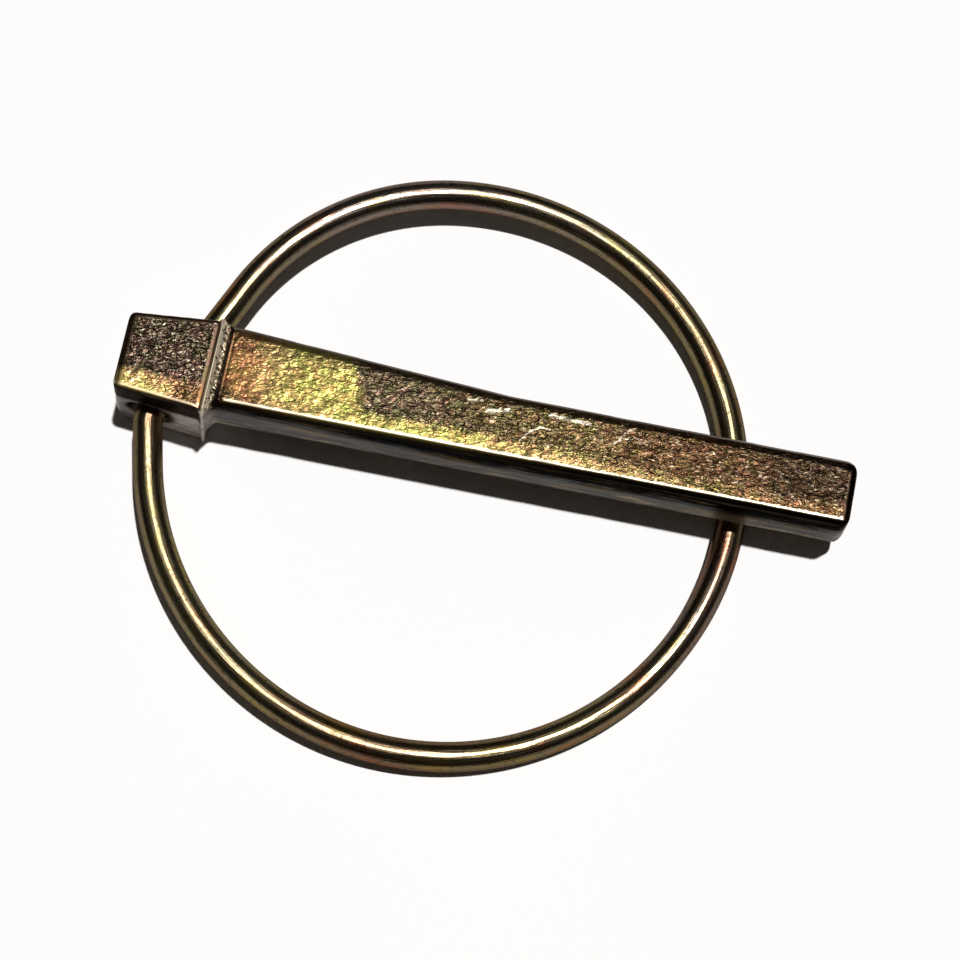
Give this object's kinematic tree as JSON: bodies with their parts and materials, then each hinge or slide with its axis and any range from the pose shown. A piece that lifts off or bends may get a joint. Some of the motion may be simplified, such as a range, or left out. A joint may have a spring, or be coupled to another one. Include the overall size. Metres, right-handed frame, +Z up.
{
  "type": "lynch pin",
  "caption": "Lynch pin with a square shank, a block head and a spring ring hinged askew, which swings round and snaps shut under the shank.",
  "frame": {"origin": "on the ground, in the middle of the whole part's box as it lies", "axes": "+X along the shank from the head to the tip, +Z up"},
  "size_m": [0.1002, 0.0826, 0.0149],
  "materials": {
    "zinc_forging": "yellow-passivated zinc on a rough forged surface, satin",
    "zinc_wire": "yellow-passivated zinc on smooth drawn wire, bright"
  },
  "bodies": {
    "pin": {"pin_body": "zinc_forging"},
    "ring": {"spring_ring": "zinc_wire"}
  },
  "joints": [
    {"name": "ring_hinge", "type": "hinge", "parent": "pin", "child": "ring", "pos_m": [-0.0422, 0.00484, 0.0063], "axis": [0.4035, 0.915, 0], "range_deg": [0, 348]}
  ]
}
